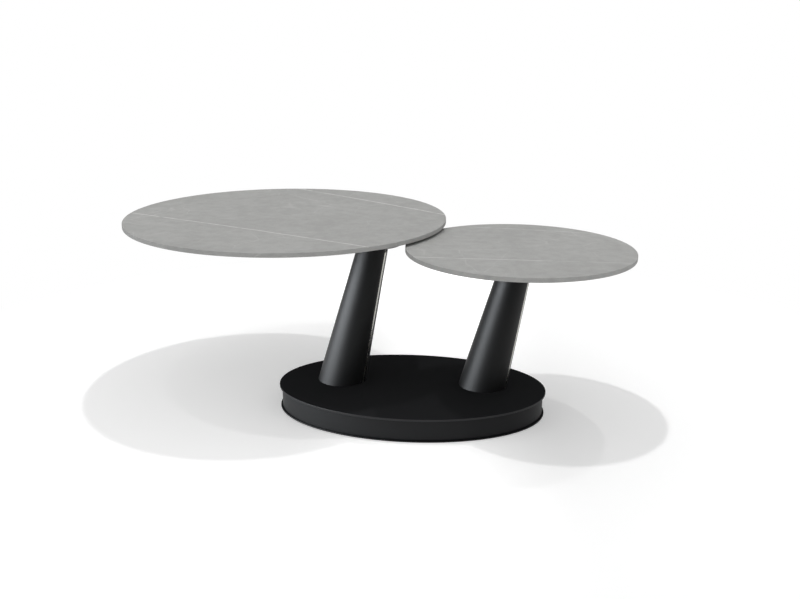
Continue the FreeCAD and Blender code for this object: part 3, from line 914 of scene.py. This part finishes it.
@dataclass
class DiscScrews:
    """Ring of cap screws with hexagon sockets under a carrier disc, sizes as radii and heights."""

    node: str
    disc: str
    body: Body
    count: int = 6
    facets: int = 48
    shank: float = 2.5 * MM
    tip_share: float = 0.75
    tip_height_share: float = 0.25
    head: float = 4.5 * MM
    head_height: float = 3.0 * MM
    socket: float = 1.5 * MM
    socket_depth: float = 1.7 * MM
    socket_floor_share: float = 0.96
    socket_points: int = 4
    ease: float = 0.3 * MM
    rim_share: float = 0.3

    def outline(self, bottom: float, top: float) -> np.ndarray:
        """One screw's outline from the floor of the socket out round the head and up the shank.

        Args:
            bottom: Level of the head's lower face.
            top: Level of the shank's end.

        Returns:
            (radius, level) points, the first socket_points of them in the socket.
        """
        socket, head, shank, ease = self.socket, self.head, self.shank, self.ease
        floor, seat = bottom + self.socket_depth, bottom + self.head_height
        lip, rim = ease / 3, self.rim_share * ease
        return np.array([
            [self.socket_floor_share * socket, floor],
            [socket, floor - lip],
            [socket, bottom + lip],
            [socket + lip, bottom],
            [head - 2 * ease, bottom],
            [head - ease, bottom],
            [head - rim, bottom + rim],
            [head, bottom + ease],
            [head, bottom + 2 * ease],
            [head, seat - ease],
            [head, seat],
            [head - ease, seat],
            [shank + ease, seat],
            [shank, seat],
            [shank, seat + ease],
            [shank, top - self.tip_height_share * shank],
            [self.tip_share * shank, top],
        ])

    def build(self) -> None:
        """Make the screws where their CAD node is.

        The outline is carried round each screw; the socket's rings take the radius of a hexagon,
        apothem / cos(angle from the nearest flat).
        """
        low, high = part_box(self.node)
        outline = self.outline(low.z, high.z)
        around = np.linspace(0.0, 2 * np.pi, self.facets, endpoint=False)
        hexagon = 1 / np.cos((around % (np.pi / 3)) - np.pi / 6)
        six_sided = (np.arange(len(outline)) < self.socket_points)[:, None]
        radius = np.where(six_sided, outline[:, :1] * hexagon[None, :], outline[:, :1])
        level = np.broadcast_to(outline[:, 1:], radius.shape)
        rings = np.stack([radius * np.cos(around), radius * np.sin(around), level], axis=-1)
        turn = (np.arange(self.count) + 0.5) * 2 * np.pi / self.count
        circle = (high.y - low.y) / 2 - self.head
        middle = np.array([*plan_centre(self.disc), 0.0])
        places = middle + circle * np.stack([np.cos(turn), np.sin(turn), 0 * turn], axis=-1)
        piece = skin(self.node + "_socket_heads", rings, (0.0, 0.0, outline[0, 1]), (0.0, 0.0, high.z),
                     places=places)
        settle(piece, ZINC_STEEL.material(), self.body, self.node)


def hang(data: bpy.types.Light, place: Point, target: Point) -> bpy.types.Object:
    """Put a lamp in its place.

    Args:
        data: The lamp.
        place: Where it hangs.
        target: Point that it is aimed at.

    Returns:
        The lamp's object.
    """
    lamp = bpy.data.objects.new(data.name, data)
    lamp.location = place
    lamp.rotation_euler = (Vector(target) - Vector(place)).to_track_quat("-Z", "Y").to_euler()
    bpy.context.scene.collection.objects.link(lamp)
    return lamp


@dataclass(frozen=True)
class Overhead:
    """Far overhead spot that lights one half of the table, in metres.

    Its light falls to half at the edge point, and it brings a white face turned to it up to a level.
    """

    name: str
    place: Point
    target: Point
    edge: Point
    level: float = 0.315
    blend: float = 0.28
    radius: float = 0.9

    def build(self) -> None:
        """Hang the spot."""
        data = bpy.data.lights.new(self.name, "SPOT")
        aim, rim = Vector(self.target) - Vector(self.place), Vector(self.edge) - Vector(self.place)
        data.spot_blend = self.blend
        data.spot_size = 2 * math.acos(1 - (1 - math.cos(aim.angle(rim))) / (1 - self.blend / 2))
        data.shadow_soft_size = self.radius
        data.energy = 4 * math.pi * aim.length_squared * self.level * math.pi
        hang(data, self.place, self.target)


@dataclass(frozen=True)
class Panel:
    """Large lit panel that shows only as a highlight on glossy pieces, in metres and watts."""

    name: str
    place: Point
    target: Point
    width: float
    height: float
    power: float
    tint: Colour

    def build(self) -> None:
        """Hang the panel."""
        data = bpy.data.lights.new(self.name, "AREA")
        data.shape = "RECTANGLE"
        data.size = self.width
        data.size_y = self.height
        data.energy = self.power
        data.color = self.tint
        lamp = hang(data, self.place, self.target)
        lamp.visible_diffuse = False
        lamp.visible_camera = False


@dataclass
class Studio:
    """White floor, soft studio light and the camera.

    The floor glows towards white for the camera and for mirrors. The glow is painted light: it is
    stronger on the left than on the right, which sets how light the shadows are on each side, a painted
    pool of light fills the seam between the two pools of the lamps, and more of it whitens the front and
    back ends. Each span gives where such a step starts and ends.
    """

    lamps: tuple[Union[Overhead, Panel], ...] = (
        Overhead("left_overhead", place=(6.16, 14.9, 40.0), target=(-2.42, 0.1, 0.0),
                 edge=(0.01, 0.1, 0.0)),
        Overhead("right_overhead", place=(-9.0, 3.02, 40.0), target=(2.48, 0.0, 0.0),
                 edge=(0.05, 0.0, 0.0)),
        Panel("left_panel", place=(-2.15, -0.85, 0.66), target=(0.0, 0.0, 0.3), width=2.3, height=1.2,
              power=190.0, tint=(0.93, 0.98, 1.03)),
    )
    floor_reach: float = 9.0
    floor_level: float = -0.1 * MM
    floor_colour: Colour = (0.86, 0.86, 0.86)
    white_span: Span = (0.98, 1.5)
    left_lift: float = 0.3
    right_lift: float = 0.19
    right_span: Span = (-0.1, 0.3)
    seam: float = 0.05
    seam_reach: float = 0.32
    seam_painted_light: float = 0.26
    end_span: Span = (0.8, 1.1)
    end_painted_light: float = 0.3
    room_span: Span = (-0.35, -0.95)
    room_level: float = 0.05
    sky_level: float = 0.74
    backdrop_span_x: Span = (0.28, 0.6)
    backdrop_span_y: Span = (0.3, 0.85)
    camera_place: Point = (146.65 * MM, -1934.93 * MM, 849.34 * MM)
    heading_degrees: float = 5.191
    pitch_degrees: float = 16.768
    roll_degrees: float = -0.51
    focal_pixels: float = 886.6
    image_width: float = 800.0
    sensor_width: float = 36.0

    def build(self) -> None:
        """Set up the floor, the world, the lamps and the camera."""
        self._floor()
        self._world()
        for lamp in self.lamps:
            lamp.build()
        self._camera()
        bpy.context.scene.view_settings.view_transform = "Standard"

    def _floor(self) -> None:
        """Pale floor with painted light nearer in, plain white beyond the table; mirrors show a dark room
        in front of it.
        """
        edge = np.array([[0.0, self.floor_level]])
        rings = oval_rings((0.0, 0.0), self.floor_reach, self.floor_reach, edge)
        floor = skin("studio_floor", rings, end=(0.0, 0.0, self.floor_level))
        shader = Shader(bpy.data.materials.new("white_floor"))
        x, y, _ = shader.parts(shader.place())
        camera, mirror = self._rays(shader)
        seen = camera.at_least(mirror)
        # Painted light: the glow is stronger on the left than on the right, fills the seam between the
        # lamps' pools, whitens the ends, and lightens the floor's shadows.
        right = shader.step(x, self.right_span) * (self.right_lift - self.left_lift)
        seam = shader.step(abs(x - self.seam), (self.seam_reach, 0.0)) * self.seam_painted_light
        ends = shader.step(abs(y), self.end_span) * self.end_painted_light
        lift = (right + seam + ends + self.left_lift) * seen
        far = shader.step((x * x + y * y) ** 0.5, self.white_span) * seen
        front = shader.step(y, self.room_span) * mirror
        pale = shader.node("ShaderNodeBsdfDiffuse", inputs={"Color": (*self.floor_colour, 1.0)})
        white = shader.node("ShaderNodeEmission", inputs={"Strength": 1.0})
        room = shader.node("ShaderNodeEmission", inputs={"Strength": self.room_level})
        lifted = shader.node("ShaderNodeAddShader", inputs={0: pale, 1: white})
        near = shader.node("ShaderNodeMixShader", inputs={0: lift, 1: pale, 2: lifted})
        plain = shader.node("ShaderNodeMixShader", inputs={0: far, 1: near, 2: white})
        surface = shader.node("ShaderNodeMixShader", inputs={0: front, 1: plain, 2: room})
        floor.data.materials.append(shader.close(surface))

    @staticmethod
    def _rays(shader: Shader) -> tuple[Value, Value]:
        """1 for what the camera sees directly or through glass, and 1 for what it sees in a mirror."""
        outputs = shader.add("ShaderNodeLightPath").outputs
        camera, glossy, through = (Value(shader, outputs[name]) for name in (
            "Is Camera Ray", "Is Glossy Ray", "Is Transmission Ray"))
        return camera.at_least(through), glossy

    def _world(self) -> None:
        """Even sky, plain white to the camera; mirrors show the white backdrop behind and a dark room."""
        world = bpy.data.worlds.new("studio_white")
        shader = Shader(world)
        x, y, _ = shader.parts(shader.node("ShaderNodeTexCoord", output="Generated"))
        backdrop = shader.step(y, self.backdrop_span_y) * shader.step(x, self.backdrop_span_x)
        reflected = backdrop * (1.0 - self.room_level) + self.room_level
        camera, mirror = self._rays(shader)
        unseen = 1.0 - camera.at_least(mirror)
        strength = camera + mirror * reflected + unseen * self.sky_level
        sky = shader.node("ShaderNodeBackground", inputs={
            "Color": (1.0, 1.0, 1.0, 1.0), "Strength": strength})
        shader.close(sky, "ShaderNodeOutputWorld")
        bpy.context.scene.world = world

    def _camera(self) -> None:
        """Camera at the photograph's place, turned by heading, pitch and roll."""
        heading, pitch, roll = (math.radians(angle) for angle in
                                (self.heading_degrees, self.pitch_degrees, self.roll_degrees))
        ahead = Vector((-math.sin(heading), math.cos(heading), 0.0))
        right = Vector((math.cos(heading), math.sin(heading), 0.0))
        forward = ahead * math.cos(pitch) - Vector((0.0, 0.0, math.sin(pitch)))
        down = -ahead * math.sin(pitch) - Vector((0.0, 0.0, math.cos(pitch)))
        image_right = right * math.cos(roll) + down * math.sin(roll)
        image_down = down * math.cos(roll) - right * math.sin(roll)
        data = bpy.data.cameras.new("photo_camera")
        data.sensor_fit = "HORIZONTAL"
        data.sensor_width = self.sensor_width
        data.lens = self.focal_pixels / self.image_width * self.sensor_width
        camera = bpy.data.objects.new("photo_camera", data)
        axes = Matrix((image_right, -image_down, -forward)).transposed().to_4x4()
        camera.matrix_world = Matrix.Translation(self.camera_place) @ axes
        bpy.context.scene.collection.objects.link(camera)
        bpy.context.scene.camera = camera


LARGE_VEINS = (
    Vein(start=(-427.0 * MM, -9.0 * MM), middle=(-56.4 * MM, -170.4 * MM), end=(279.5 * MM, -332.0 * MM),
         width=2.7 * MM, strength=0.85),
    Vein(start=(-79.3 * MM, 413.7 * MM), middle=(181.6 * MM, 226.6 * MM), end=(416.0 * MM, 46.3 * MM),
         width=2.9 * MM, strength=0.95),
    Vein(start=(60.0 * MM, 145.0 * MM), middle=(73.0 * MM, 138.0 * MM), end=(86.0 * MM, 130.0 * MM),
         width=2.6 * MM, strength=0.7, wander=0.3 * MM),
)
SMALL_VEINS = (
    Vein(start=(-250.0 * MM, -115.5 * MM), middle=(-80.0 * MM, -115.0 * MM), end=(60.0 * MM, -114.0 * MM),
         width=2.6 * MM, strength=0.6),
    Vein(start=(80.0 * MM, -113.0 * MM), middle=(150.0 * MM, -112.3 * MM), end=(250.0 * MM, -111.0 * MM),
         width=2.2 * MM, strength=0.3),
    Vein(start=(-150.0 * MM, 205.0 * MM), middle=(20.0 * MM, 196.0 * MM), end=(190.0 * MM, 170.0 * MM),
         width=2.6 * MM, strength=0.5),
)


def dress_cad_nodes() -> None:
    """Give each carried-over CAD node its finish."""
    for finish, nodes in CAD_FINISHES.items():
        material = finish.material()
        for node in nodes:
            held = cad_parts[node].data.materials
            held.clear()
            held.append(material)
            LOG.info("%s: %s", node, material.name)


def main() -> None:
    """Build every piece, the finishes and the studio."""
    logging.basicConfig(level=logging.INFO, format="%(name)s %(message)s")
    OvalBase().build()
    for side in Side:
        Leg(side).build()
    StoneTop("large_top_slab", Body.LARGE_TOP, LARGE_VEINS).build()
    StoneTop("small_top_slab", Body.BASE, SMALL_VEINS).build()
    DiscScrews("large_disc_screws", "large_carrier_disc", Body.LARGE_TOP).build()
    DiscScrews("small_disc_screws", "small_carrier_disc", Body.BASE).build()
    dress_cad_nodes()
    Studio().build()


if __name__ == "__main__":
    main()
